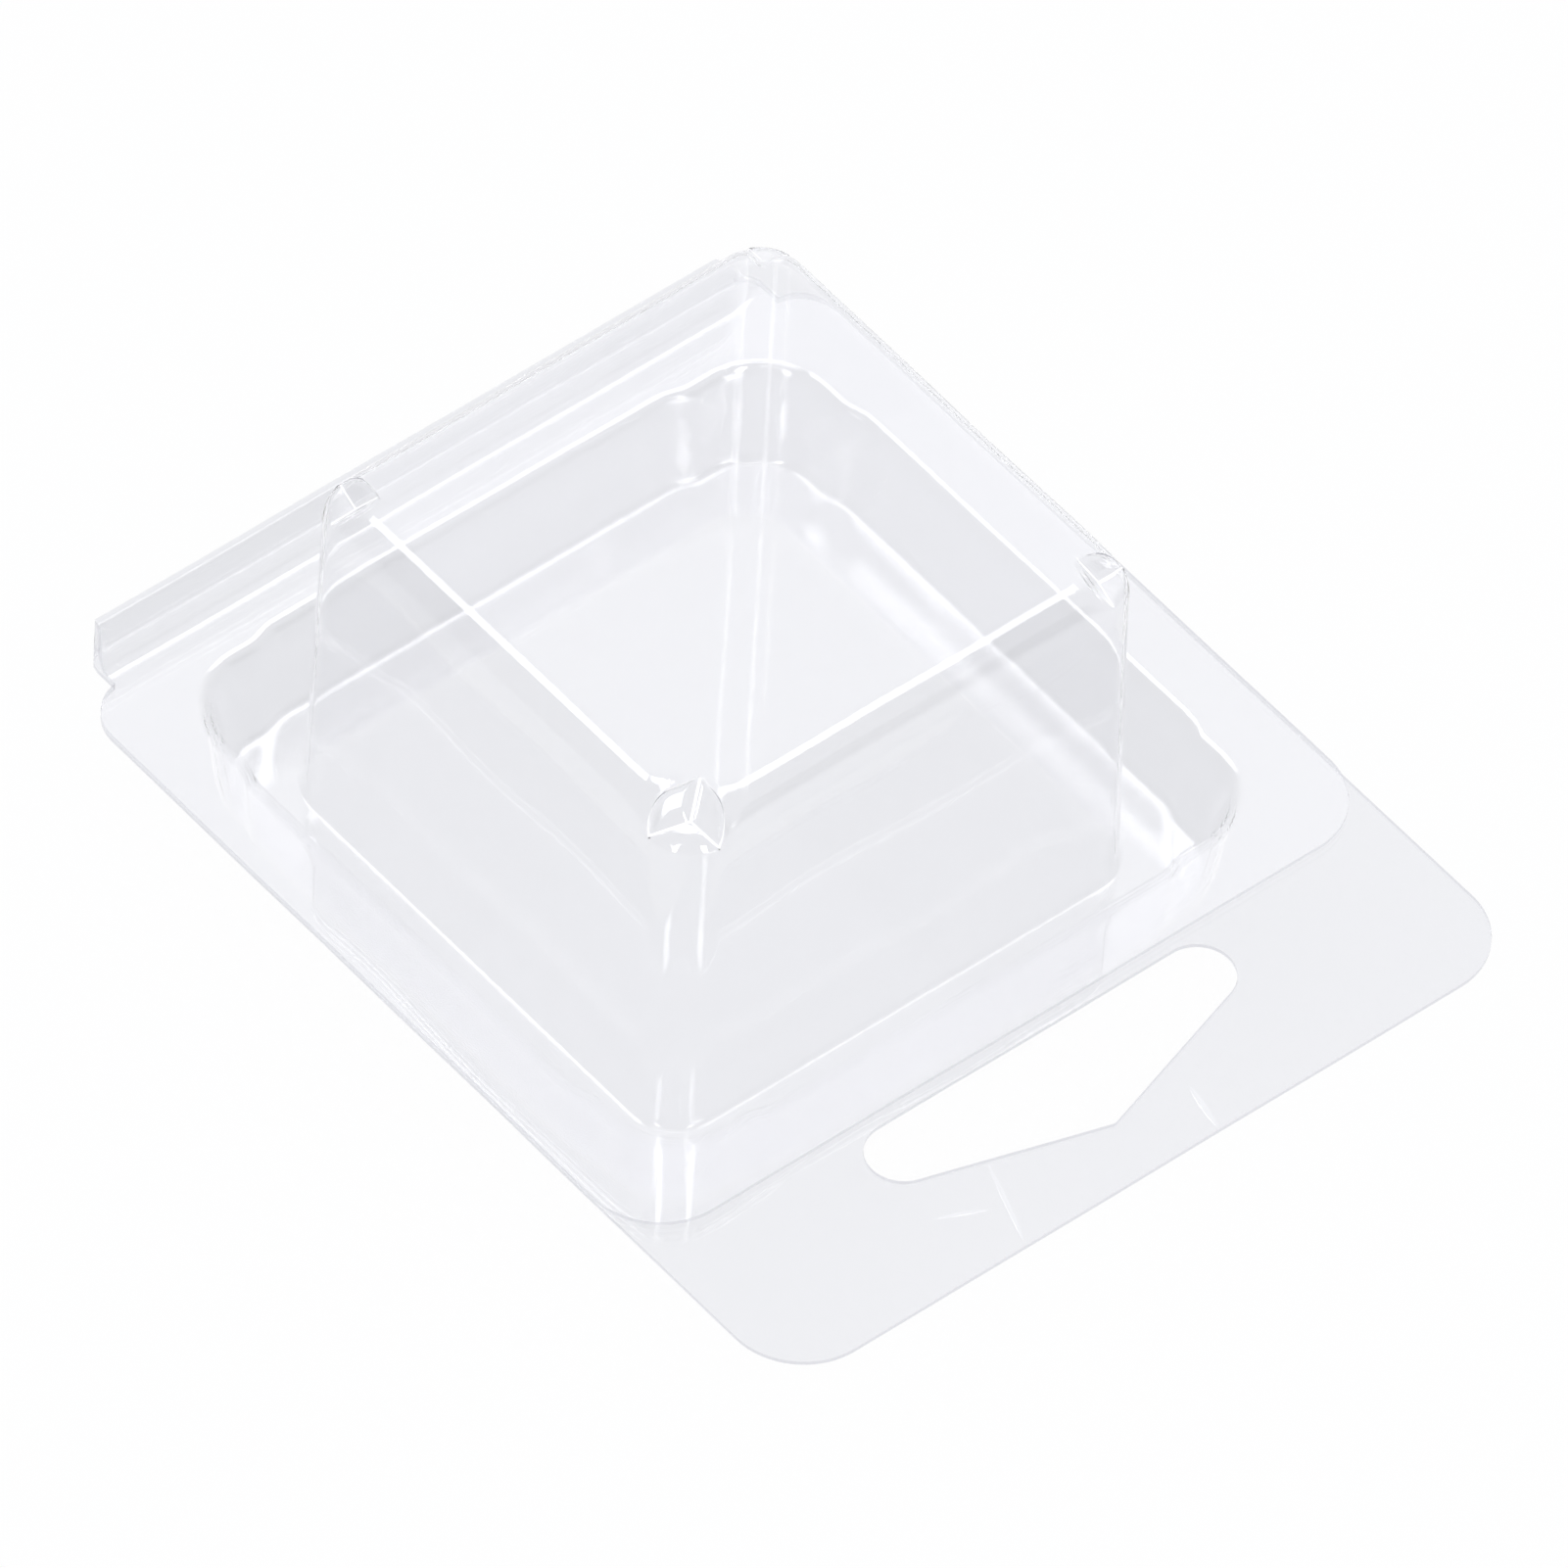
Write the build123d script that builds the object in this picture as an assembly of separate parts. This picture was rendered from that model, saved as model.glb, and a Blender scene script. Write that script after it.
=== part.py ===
# A clear clamshell mould for one wax melt: a single formed sheet that folds shut along one edge.
# The lid half lies on the table and carries the hang tab. The cavity half folds down on top of it.
# Each half is what lies between a forming surface and the same surface one sheet thickness out,
# trimmed to its die-cut outline. Millimetres, +Z up, +Y towards the fold.
import os
from math import hypot, radians, sqrt, tan

from build123d import *

# Sheet
sheet_thickness = 0.3
seam_gap = 0.05

# Wax cavity, a square dome: sizes of its inside
cavity_width = 39.1
cavity_corner_radius = 3.2
cavity_edge_radius = 2.5
cavity_draft_deg = 0.8
dome_rise = 21.2
dome_foot_radius = 0.4
dome_setback = 0.5

# Flattened top corners of the dome
facet_run = 3.8
facet_drop = 2.3
facet_chord_depth = 0.8

# Locking plug round the foot of the dome: sizes of its underside
moat_floor_width = 4.7
plug_depth = 7.7
plug_draft_deg = 5.5
plug_corner_radius = 5.0
moat_floor_radius = 0.5

# Outward swell in the middle of each plug wall, which snaps into the lid
lock_swell = 0.55
lock_ramp = 2.2
lock_corner_gap = 6.6
lock_blend_radius = 2.0

# Lid dish round the plug
plug_clearance = 0.2
floor_clearance = 0.15
dish_floor_radius = 0.6
rim_radius = 0.4

# Flanges and trimmed outline
side_rim = 6.0
front_rim = 5.5
hinge_rim = 6.6
outer_corner_radius = 5.5
hinge_corner_radius = 3.5
hinge_notch_width = 3.0
hinge_neck = 3.4
neck_corner_radius = 1.8

# Stiffening ridge along the fold: sizes of its inside
ridge_height = 4.1
ridge_top_width = 0.5
ridge_draft_deg = 5.0
ridge_edge_radius = 0.12
ridge_end_land = 0.8
fold_land = 0.15

# Hang tab and its delta-shaped hole
tab_length = 14.7
hole_length = 30.4
hole_depth = 9.2
hole_end_radius = 2.6
hole_apex_radius = 0.6
hole_offset = 0.9

# Extra length of cutting and forming bodies past the sheet
overrun = 2.0

# Heights
plug_floor_z = sheet_thickness + floor_clearance
seam_z = plug_floor_z + plug_depth
cavity_flange_z = seam_z + seam_gap / 2
lid_flange_z = seam_z - seam_gap / 2 - sheet_thickness
cavity_top_z = cavity_flange_z + dome_rise

# Half widths
cavity_slope = tan(radians(cavity_draft_deg))
plug_slope = tan(radians(plug_draft_deg))
ridge_slope = tan(radians(ridge_draft_deg))
foot_half = cavity_width / 2 + (cavity_top_z - plug_floor_z) * cavity_slope
moat_middle = foot_half + moat_floor_width / 2
plug_half = foot_half + moat_floor_width + plug_depth * plug_slope
flange_half = plug_half + side_rim
neck_half = flange_half - hinge_notch_width
ridge_foot_spread = ridge_height * ridge_slope + sheet_thickness
ridge_half = neck_half - ridge_end_land - ridge_foot_spread

# Places along Y
total_length = tab_length + front_rim + 2 * plug_half + hinge_rim
fold_y = total_length / 2
tab_front_y = -total_length / 2
flange_front_y = tab_front_y + tab_length
plug_y = flange_front_y + front_rim + plug_half
dome_y = plug_y + dome_setback
neck_y = fold_y - hinge_neck
ridge_y = fold_y - fold_land - ridge_foot_spread - ridge_top_width / 2


def frustum(low_plan, low_z, high_plan, high_z):
    """Straight-sided body between two plans of the same make-up."""
    return loft([Pos(0, 0, low_z) * low_plan, Pos(0, 0, high_z) * high_plan], ruled=True)


def plug_plan(half, grow):
    """Rounded square with a swell in the middle of each side, grown outwards by grow."""
    edge = half + grow
    ramp_end = plug_half - lock_corner_gap
    lock_end = ramp_end - lock_ramp
    side = [(-edge, edge), (-ramp_end, edge), (-lock_end, edge + lock_swell)]
    side += [(lock_end, edge + lock_swell), (ramp_end, edge)]
    side_radii = [plug_corner_radius + grow] + [lock_blend_radius] * (len(side) - 1)
    points = []
    radii = []
    for turn in range(4):
        points += [Vector(u, v).rotate(Axis.Z, -90 * turn) for u, v in side]
        radii += side_radii
    outline = FilletPolyline(*points, radius=radii, close=True)
    return Pos(0, plug_y, 0) * make_face(outline)


def plug_body(grow, floor_z, top_z):
    """Drafted body inside the plug walls, from its floor to a height."""
    low_half = plug_half - (seam_z - floor_z) * plug_slope
    high_half = plug_half - (seam_z - top_z) * plug_slope
    return frustum(plug_plan(low_half, grow), floor_z, plug_plan(high_half, grow), top_z)


def dome_plan(z, skin):
    """Rounded square of the dome at a height."""
    width = cavity_width + 2 * (cavity_top_z - z) * cavity_slope + 2 * skin
    return Pos(0, dome_y, 0) * RectangleRounded(width, width, cavity_corner_radius + skin)


def ridge_plan(z, skin):
    """Slot-shaped plan of the ridge at a height."""
    spread = (cavity_flange_z + ridge_height - z) * ridge_slope + skin
    return Pos(0, ridge_y, 0) * SlotOverall(2 * (ridge_half + spread), ridge_top_width + 2 * spread)


def facet_cutter(skin):
    """Wedge that flattens one top corner of the dome, on its diagonal towards +X +Y."""
    shrink = skin - sheet_thickness
    outside_half = cavity_width / 2 + sheet_thickness
    outside_radius = cavity_corner_radius + sheet_thickness
    chord_reach = (outside_half - outside_radius) * sqrt(2) + outside_radius - facet_chord_depth
    top_z = cavity_top_z + sheet_thickness
    over_z = top_z + overrun
    ledge_z = top_z - facet_drop + shrink
    ledge_reach = chord_reach + shrink * (hypot(facet_run, facet_drop) - facet_run) / facet_drop
    over_reach = ledge_reach - (over_z - ledge_z) * facet_run / facet_drop
    far_reach = chord_reach + facet_run
    corners = [(over_reach, over_z), (ledge_reach, ledge_z), (far_reach, ledge_z), (far_reach, over_z)]
    diagonal = Plane(origin=(0, 0, 0), x_dir=(1, 1, 0), z_dir=(1, -1, 0))
    wedge = diagonal * make_face(Polyline(*corners, close=True))
    return extrude(wedge, amount=chord_reach / 2, both=True)


def forming_slab(top_z):
    """Block under a flange, wider and longer than the trimmed sheet."""
    width = 2 * flange_half + overrun
    length = total_length + overrun
    return Pos(0, 0, top_z) * Box(width, length, top_z + overrun, align=(Align.CENTER, Align.CENTER, Align.MAX))


def ring_edges(body, z, inner, outer):
    """Edges that lie flat at a height, between two half widths of the plug's centre."""
    def half_width(edge):
        middle = edge.center()
        return max(abs(middle.X), abs(middle.Y - plug_y))

    flat = body.edges().filter_by_position(Axis.Z, z, z)
    return flat.filter_by(lambda edge: inner < half_width(edge) < outer)


def cavity_form(skin):
    """Everything under the cavity half's surface, skin away from the forming tool."""
    flange_z = cavity_flange_z + skin
    floor_z = plug_floor_z + skin
    top_z = cavity_top_z + skin
    ridge_top_z = cavity_flange_z + ridge_height + skin
    inside_bend = sheet_thickness - skin
    outside_bend = sheet_thickness + skin
    form = forming_slab(flange_z) - plug_body(-skin, floor_z, flange_z + overrun)
    form += frustum(dome_plan(0, skin), 0, dome_plan(top_z, skin), top_z)
    form = fillet(ring_edges(form, top_z, 0, moat_middle), cavity_edge_radius + skin)
    form = fillet(ring_edges(form, floor_z, 0, moat_middle), dome_foot_radius + inside_bend)
    form = fillet(ring_edges(form, floor_z, moat_middle, flange_half), moat_floor_radius + inside_bend)
    form = fillet(ring_edges(form, flange_z, moat_middle, plug_half + lock_swell), rim_radius + outside_bend)
    for turn in range(4):
        form -= Pos(0, dome_y, 0) * Rot(0, 0, 90 * turn) * facet_cutter(skin)
    ridge = frustum(ridge_plan(seam_z, skin), seam_z, ridge_plan(ridge_top_z, skin), ridge_top_z)
    ridge = fillet(ridge.faces().sort_by(Axis.Z)[-1].edges(), ridge_edge_radius + skin)
    return form + ridge


def lid_form(skin):
    """Everything under the lid half's surface, skin away from the forming tool."""
    flange_z = lid_flange_z + skin
    inside_bend = sheet_thickness - skin
    dish_grow = plug_clearance + inside_bend
    form = forming_slab(flange_z) - plug_body(dish_grow, skin, flange_z + overrun)
    form = fillet(ring_edges(form, skin, moat_middle, flange_half), dish_floor_radius + inside_bend)
    return fillet(ring_edges(form, flange_z, moat_middle, plug_half + lock_swell + dish_grow), rim_radius + skin)


def flange_plan(front_y):
    """Die-cut outline of one half: rounded corners and a narrower neck at the fold."""
    blank = Pos(0, (front_y + neck_y) / 2, 0) * Rectangle(2 * flange_half, neck_y - front_y)
    blank = fillet(blank.vertices().sort_by(Axis.Y)[:2], outer_corner_radius)
    blank = fillet(blank.vertices().sort_by(Axis.Y)[-2:], hinge_corner_radius)
    neck_length = hinge_neck + hinge_corner_radius
    neck = Pos(0, fold_y - neck_length / 2, 0) * Rectangle(2 * neck_half, neck_length)
    return blank + fillet(neck.vertices().sort_by(Axis.Y)[-2:], neck_corner_radius)


def hang_hole_plan():
    """Delta-shaped hole: a long base with round ends towards the dome, a blunt apex towards the tab's edge."""
    base_y = flange_front_y - hole_offset
    end_x = hole_length / 2 - hole_end_radius
    ends = [Pos(x, base_y - hole_end_radius, 0) * Circle(hole_end_radius) for x in (-end_x, end_x)]
    apex = Pos(0, base_y - hole_depth + hole_apex_radius, 0) * Circle(hole_apex_radius)
    return make_hull(ends[0].edges() + ends[1].edges() + apex.edges())


def formed_sheet(form, outline):
    """Sheet between the two forming surfaces, trimmed to its outline."""
    trim = Pos(0, 0, -overrun) * extrude(outline, amount=cavity_top_z + 2 * overrun)
    return (form(sheet_thickness) - form(0)) & trim


cavity_half = formed_sheet(cavity_form, flange_plan(flange_front_y))
lid_half = formed_sheet(lid_form, flange_plan(tab_front_y) - hang_hole_plan())

os.makedirs("parts", exist_ok=True)
for name, half in (("cavity_half", cavity_half), ("lid_half", lid_half)):
    half.label = name
    export_step(half, f"parts/{name}.step")
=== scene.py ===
"""A clear clamshell mould for one wax melt, dressed for the picture."""
import math

import bmesh
import bpy
import numpy as np
from mathutils import Matrix, Vector


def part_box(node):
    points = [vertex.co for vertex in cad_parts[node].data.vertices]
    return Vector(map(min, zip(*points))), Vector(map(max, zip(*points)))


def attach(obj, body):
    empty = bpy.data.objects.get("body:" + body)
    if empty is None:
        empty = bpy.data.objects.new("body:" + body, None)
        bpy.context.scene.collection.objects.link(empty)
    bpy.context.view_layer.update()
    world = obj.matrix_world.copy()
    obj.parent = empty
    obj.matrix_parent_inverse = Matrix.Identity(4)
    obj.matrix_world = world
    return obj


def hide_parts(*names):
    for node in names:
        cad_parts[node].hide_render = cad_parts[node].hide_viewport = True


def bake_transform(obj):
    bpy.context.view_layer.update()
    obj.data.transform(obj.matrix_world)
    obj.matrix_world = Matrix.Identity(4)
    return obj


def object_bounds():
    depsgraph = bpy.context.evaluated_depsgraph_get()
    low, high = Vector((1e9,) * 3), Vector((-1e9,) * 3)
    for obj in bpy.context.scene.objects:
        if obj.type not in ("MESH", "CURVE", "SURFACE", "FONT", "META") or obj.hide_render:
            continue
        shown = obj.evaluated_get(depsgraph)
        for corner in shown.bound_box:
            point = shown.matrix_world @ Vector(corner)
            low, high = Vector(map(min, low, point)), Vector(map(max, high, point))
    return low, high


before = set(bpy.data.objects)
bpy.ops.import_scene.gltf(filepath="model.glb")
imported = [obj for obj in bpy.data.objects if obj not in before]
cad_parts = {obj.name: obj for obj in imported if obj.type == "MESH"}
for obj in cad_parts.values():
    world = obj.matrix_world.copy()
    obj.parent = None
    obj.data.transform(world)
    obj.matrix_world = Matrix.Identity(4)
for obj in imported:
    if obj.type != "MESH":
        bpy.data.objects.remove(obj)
CAD_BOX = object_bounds()

bl_info = {
    "name": "Clamshell wax melt mould",
    "version": (1, 0, 0),
    "blender": (4, 5, 0),
    "location": "3D View > Sidebar > Mould",
    "description": "Builds the two formed halves, the fold between them and a white stage",
    "category": "Object",
}

MM = 0.001
SIDE_STEPS = 36
CORNER_STEPS = 20
BACK_START = 2 * (SIDE_STEPS + CORNER_STEPS)
FLANGE_SHARES = (0.15, 0.3, 0.45, 0.6, 0.75, 0.88, 0.96, 1.0)

# Finishes of a piece, in the order of its materials
CLEAR, CUT, JOIN, CREASE, DOME = range(5)

# Draft angles in degrees
DOME_DRAFT, PLUG_DRAFT, RIDGE_DRAFT = 0.8, 5.5, 5.0

# Small sizes of the sheet in millimetres
FRONT_FLANGE = 5.5
DOME_SHIFT = 0.5
FOLD_INSET = 0.04
TAB_START = 0.3
RIDGE_INSET = 0.06
RIDGE_EDGE = 0.12
HOLE_APEX = 0.6
NECK_PULL = 5

# Sunk top corners of the dome: which corner, size beside the near one, depth of its hollows
DIMPLES = (((-1, -1), 1.0, 0.28), ((-1, 1), 0.75, 0.25), ((1, -1), 0.75, 0.25), ((1, 1), 0.6, 0.15))

# Places in the near dimple in millimetres: back from the corner, aside and down
DIMPLE_APEX, DIMPLE_HEART = (4.75, 0.43, 0.0), (2.72, 0.07, 2.3)
DIMPLE_TIPS = (1.07, -2.63, 2.3), (0.8, 2.05, 2.3)
DIMPLE_REACH = (7, 6.5, 2)
LIP_DROP, LIP_WIDTH, LIP_SHOULDER, LIP_PEAK_SHARE = 0.3, 0.9, 2.4, 0.15

# Creases in the hang tab in millimetres: start, end and width
TAB_CREASES = (((-8.9, -31.9), (-11.2, -38.3), 0.42), ((5.9, -34.7), (5.1, -38.6), 0.5),
               ((-14.6, -33.4), (-11.4, -34.9), 0.45))
TAB_CREASE_RISE, TAB_CREASE_LIFT = 0.05, 0.003

# Unevenness left by forming in millimetres: lengths of its waves, and how it fades
WAVES, WAVE_LENGTHS = 12, (8, 26)
WAVE_FADE, TOP_FADE, FLOOR_STILL = 3, 1.5, 0.4

# Lamps in metres: name, place, width and height, and which brightness they take
MOULD_MIDDLE = (0, 0.007, 0.015)
LAMPS = (
    ("strip_right", (0.44, 0.05, 0.896), (0.28, 0.34), "strip"),
    ("strip_back", (-0.085, 0.49, 0.867), (0.28, 0.34), "strip"),
    ("overhead", (0.15, 0.17, 0.97), (0.36, 0.2), "strip"),
    ("front_left", (-0.67, -0.19, 0.72), (0.12, 0.44), "front"),
    ("front_right", (-0.05, -0.69, 0.72), (0.12, 0.44), "front"),
    ("front_low", (0.05, -0.97, 0.25), (0.34, 0.3), "strip"),
)
DARK_CARD = ((0.25, -0.72, 0.58), (0.63, -0.72, 0.58), (0.63, -0.92, 0.14), (0.25, -0.92, 0.14))


def length(name, description, default_mm):
    """A size that a user would change, kept in metres."""
    return bpy.props.FloatProperty(
        name=name, description=description, default=default_mm * MM, min=0.0,
        precision=5, subtype="DISTANCE", unit="LENGTH")


def tint(name, description, default):
    """A colour that a user would change."""
    return bpy.props.FloatVectorProperty(
        name=name, description=description, default=default, size=3, min=0.0, max=1.0, subtype="COLOR")


def amount(name, description, default, low=0.0, high=10.0):
    """A plain number that a user would change."""
    return bpy.props.FloatProperty(name=name, description=description, default=default, min=low, max=high)


class MouldSizes(bpy.types.PropertyGroup):
    """Sizes of the formed sheet."""
    thickness: length("Sheet", "Thickness of the formed sheet", 0.3)
    seam: length("Seam", "Air between the two flanges", 0.05)
    cavity: length("Cavity width", "Inside width of the dome at its top", 39.1)
    cavity_corner: length("Cavity corner", "Inside radius of the dome's upright corners", 3.2)
    cavity_edge: length("Cavity edge", "Inside radius round the dome's top", 2.5)
    dome_rise: length("Dome rise", "Height of the dome above its flange", 21.2)
    dome_foot: length("Dome foot", "Radius where the dome meets the moat", 0.4)
    moat: length("Moat", "Width of the floor round the dome", 4.7)
    plug_depth: length("Plug depth", "Depth of the plug below the seam", 7.7)
    plug_corner: length("Plug corner", "Radius of the plug's corners", 5.0)
    moat_bend: length("Moat bend", "Radius where the moat meets the plug wall", 0.5)
    swell: length("Swell", "How far the locking swells stand out", 0.55)
    swell_ramp: length("Swell ramp", "Length of a swell's ramp", 2.2)
    swell_gap: length("Swell gap", "From the plug's corner to the ramp", 6.6)
    dish_gap: length("Dish gap", "Air between the plug and the lid dish", 0.2)
    floor_gap: length("Floor gap", "Air between the plug and the lid floor", 0.15)
    dish_bend: length("Dish bend", "Radius round the lid floor", 0.6)
    rim: length("Rim", "Radius where a wall meets the flange", 0.8)
    outer_corner: length("Outer corner", "Corner radius of the cut outline", 5.5)
    hinge_corner: length("Hinge corner", "Corner radius beside the fold", 3.5)
    notch: length("Notch", "How far the outline steps in at the fold", 3.0)
    neck: length("Neck", "Depth of the narrow strip at the fold", 3.4)
    neck_corner: length("Neck corner", "Corner radius of the strip at the fold", 1.2)
    ridge: length("Ridge height", "Height of the stiffening ridge inside", 4.1)
    ridge_foot: length("Ridge foot", "Radius where the ridge meets the flange", 1.1)
    ridge_end: length("Ridge end", "How far from its right end the ridge runs down", 3.6)
    ridge_top: length("Ridge top", "Width of the ridge's top inside", 0.35)
    hole: length("Hole length", "Length of the hang hole", 30.4)
    hole_depth: length("Hole depth", "Depth of the hang hole to its apex", 9.2)
    hole_end: length("Hole end", "End radius of the hang hole", 2.6)
    hole_offset: length("Hole offset", "From the upper flange's front to the hole", 0.9)


class MouldFinish(bpy.types.PropertyGroup):
    """Look of the clear sheet."""
    colour: tint("Sheet colour", "Tint of the clear sheet", (0.984, 0.984, 0.988))
    # Painted shade: the cut edge's grey tint stands in for the dark line that refraction draws along a cut
    # edge; its roughness is the cut's own
    edge_shade_colour: tint("Cut edge colour", "Tint of the die-cut edge", (0.76, 0.76, 0.79))
    # Painted highlight: the white of the dimples' creases stands in for the reflection the crease band
    # catches
    crease_highlight_colour: tint("Crease colour", "Colour of the sheet where it is creased", (0.97, 0.97, 0.98))
    index: amount("Index", "Refractive index of the sheet", 1.006, 1.0, 2.5)
    dome_index: amount("Dome index", "Refractive index of the dome", 1.02, 1.0, 2.5)
    ripple: length("Ripple", "Height of the gentle ripple left by forming", 0.035)


class StageLook(bpy.types.PropertyGroup):
    """Look of the floor and the lamps."""
    floor_colour: tint("Floor", "Colour of the floor under the sheet", (0.67, 0.676, 0.697))
    floor_seen: tint("Floor seen", "Tone of the floor seen through the sheet", (0.82, 0.826, 0.848))
    strip: amount("Strips", "Brightness of the softboxes overhead and low in front", 4.0)
    backdrop: amount("Backdrop", "Brightness of the backdrop behind the mould", 1.5)
    front: amount("Front softboxes", "Brightness of the two softboxes high in front", 10.0)
    fill: amount("Surroundings", "Brightness of the light tent", 0.57)


def side_shares():
    """Shares along a side, closer together towards its ends."""
    steps = np.arange(SIDE_STEPS) / SIDE_STEPS
    return steps - 0.75 * np.sin(2 * np.pi * steps) / (2 * np.pi)


def plan(centre_y, half, radius, spread=None):
    """Rounded square, counter-clockwise from the left end of its front side. spread widens its sides."""
    along = (2 * side_shares() - 1) * (half - radius)
    out = np.full(SIDE_STEPS, half)
    if spread is not None:
        out = out + spread(along)
    turn = np.arange(CORNER_STEPS) / CORNER_STEPS * np.pi / 2
    corner = np.stack([half - radius + radius * np.sin(turn), -(half - radius) - radius * np.cos(turn)], 1)
    points = []
    for quarter in range(4):
        angle = quarter * np.pi / 2
        turned = np.array([[np.cos(angle), np.sin(angle)], [-np.sin(angle), np.cos(angle)]])
        points.append(np.concatenate([np.stack([along, -out], 1), corner]) @ turned)
    return np.concatenate(points) + [0, centre_y]


def smooth(x):
    """Smooth step from 0 to 1."""
    x = np.clip(x, 0, 1)
    return x * x * (3 - 2 * x)


class Sheet:
    """Places of the sheet's forms in millimetres, worked out from the sizes."""

    def __init__(self, sizes):
        for name in MouldSizes.__annotations__:
            setattr(self, name, getattr(sizes, name) / MM)
        low, high = (np.array(corner) / MM for corner in CAD_BOX)
        self.flange_half = high[0]
        self.fold_y = high[1]
        self.tab_y = low[1]
        self.front_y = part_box("cavity_half")[0][1] / MM
        self.plug_floor = self.thickness + self.floor_gap
        self.seam_z = self.plug_floor + self.plug_depth
        self.cavity_flange = self.seam_z + self.seam / 2
        self.lid_flange = self.seam_z - self.seam / 2 - self.thickness
        self.top = self.cavity_flange + self.dome_rise
        self.cavity_slope = math.tan(math.radians(DOME_DRAFT))
        self.plug_slope = math.tan(math.radians(PLUG_DRAFT))
        self.ridge_slope = math.tan(math.radians(RIDGE_DRAFT))
        self.foot_half = self.cavity / 2 + (self.top - self.plug_floor) * self.cavity_slope
        self.plug_half = self.foot_half + self.moat + self.plug_depth * self.plug_slope
        self.plug_y = self.front_y + FRONT_FLANGE + self.plug_half
        self.dome_y = self.plug_y + DOME_SHIFT
        self.neck_y = self.fold_y - self.neck
        self.neck_half = self.flange_half - self.notch
        self.fold_end = self.fold_y - self.seam / 2 - self.thickness - FOLD_INSET

    def dome_half(self, z, skin):
        """Half of the dome's width at a height."""
        return self.cavity / 2 + (self.top - z) * self.cavity_slope + skin

    def plug_at(self, z):
        """Half of the plug's width at a height."""
        return self.plug_half - (self.seam_z - z) * self.plug_slope

    def bulge(self, along):
        """Outward swell in the middle of a plug wall."""
        end = self.plug_half - self.swell_gap
        return self.swell * smooth((end - np.abs(along)) / self.swell_ramp)

    def plug_plan(self, half, radius):
        """Outline of the plug with its swells."""
        return plan(self.plug_y, half, radius, self.bulge)

    def outline(self, front_y, front_radius):
        """Cut outline of a flange up to the strip at the fold, in step with the rounded squares."""
        shares = side_shares()
        turn = np.arange(CORNER_STEPS) / CORNER_STEPS
        wide, r, h = self.flange_half, front_radius, self.hinge_corner
        sweep = math.acos((self.neck_half - wide + h) / h)
        back_y = self.neck_y - h + h * math.sin(sweep)
        quarter = turn * np.pi / 2
        if r:
            front_x = (2 * shares - 1) * (wide - r)
            right_low = np.stack([wide - r + r * np.sin(quarter), front_y + r - r * np.cos(quarter)], 1)
        else:
            front_x = (2 * shares - 1) * wide
            right_low = np.stack([np.full(CORNER_STEPS, wide), front_y + turn * self.outer_corner], 1)
        rise = self.outer_corner if not r else r
        side_y = front_y + rise + shares * (self.neck_y - h - front_y - rise)
        right = np.stack([np.full(SIDE_STEPS, wide), side_y], 1)
        arc = turn * sweep
        right_high = np.stack([wide - h + h * np.cos(arc), self.neck_y - h + h * np.sin(arc)], 1)
        back = np.stack([(1 - 2 * shares) * self.neck_half, np.full(SIDE_STEPS, back_y)], 1)
        mirror = np.array([-1, 1])
        end_back = np.array([[-self.neck_half, back_y]])
        left_high = np.concatenate([end_back, (right_high * mirror)[:0:-1]])
        left = np.concatenate([[[-wide, self.neck_y - h]], (right * mirror)[:0:-1]])
        left_low = np.concatenate([[[-wide, front_y + rise]], (right_low * mirror)[:0:-1]])
        front = np.stack([front_x, np.full(SIDE_STEPS, front_y)], 1)
        return np.concatenate([front, right_low, right, right_high, back, left_high, left, left_low])


def rings_to_faces(count, around):
    """Quads between closed rings."""
    faces = []
    for ring in range(count - 1):
        for step in range(around):
            after = (step + 1) % around
            a, b = ring * around + step, ring * around + after
            faces.append((a, a + around, b + around, b))
    return faces


def lift(ring, z):
    """A flat ring at a height."""
    return np.concatenate([ring, np.full((len(ring), 1), z)], 1)


def hollow_fill(bm, loop, normal, depth):
    """Fills a loop with a shallow dish. Returns its faces, the ring along its crease first."""
    middle = sum((v.co for v in loop), Vector()) / len(loop)
    before, made = loop, []
    for share in (0.93, 0.88, 0.83, 0.76, 0.68, 0.58, 0.48, 0.37, 0.25, 0.12):
        sunk = normal * depth * (1 - share ** 3)
        ring = [bm.verts.new(middle + (v.co - middle) * share - sunk) for v in loop]
        for i, v in enumerate(ring):
            made.append(bm.faces.new((before[i - 1], before[i], v, ring[i - 1])))
        before = ring
    tip = bm.verts.new(middle - normal * depth)
    made += [bm.faces.new((before[i - 1], before[i], tip)) for i in range(len(before))]
    return made


def between(bm, a, b, count):
    """New points on the line from a to b, without its ends."""
    return [bm.verts.new(a.co.lerp(b.co, i / count)) for i in range(1, count)]


def open_edge(bm, ledge, across):
    """Points round an opening, in two runs: along the ledge from its left end, and back over the top."""
    ways = {}
    for edge in (e for e in bm.edges if e.is_boundary):
        for v in edge.verts:
            ways.setdefault(v, []).append(edge.other_vert(v))
    loop = list(ways)[:1]
    loop.append(ways[loop[0]][0])
    while True:
        step = next(v for v in ways[loop[-1]] if v is not loop[-2])
        if step is loop[0]:
            break
        loop.append(step)
    low = [abs(v.co.z - ledge) < 1e-3 for v in loop]
    start = next(i for i in range(len(loop)) if low[i] and not low[i - 1])
    loop, low = loop[start:] + loop[:start], low[start:] + low[:start]
    count = low.index(False)
    if loop[0].co.dot(across) > loop[count - 1].co.dot(across):
        loop = loop[count - 1::-1] + loop[:count - 1:-1]
    return loop[:count], loop[count:]


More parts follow.
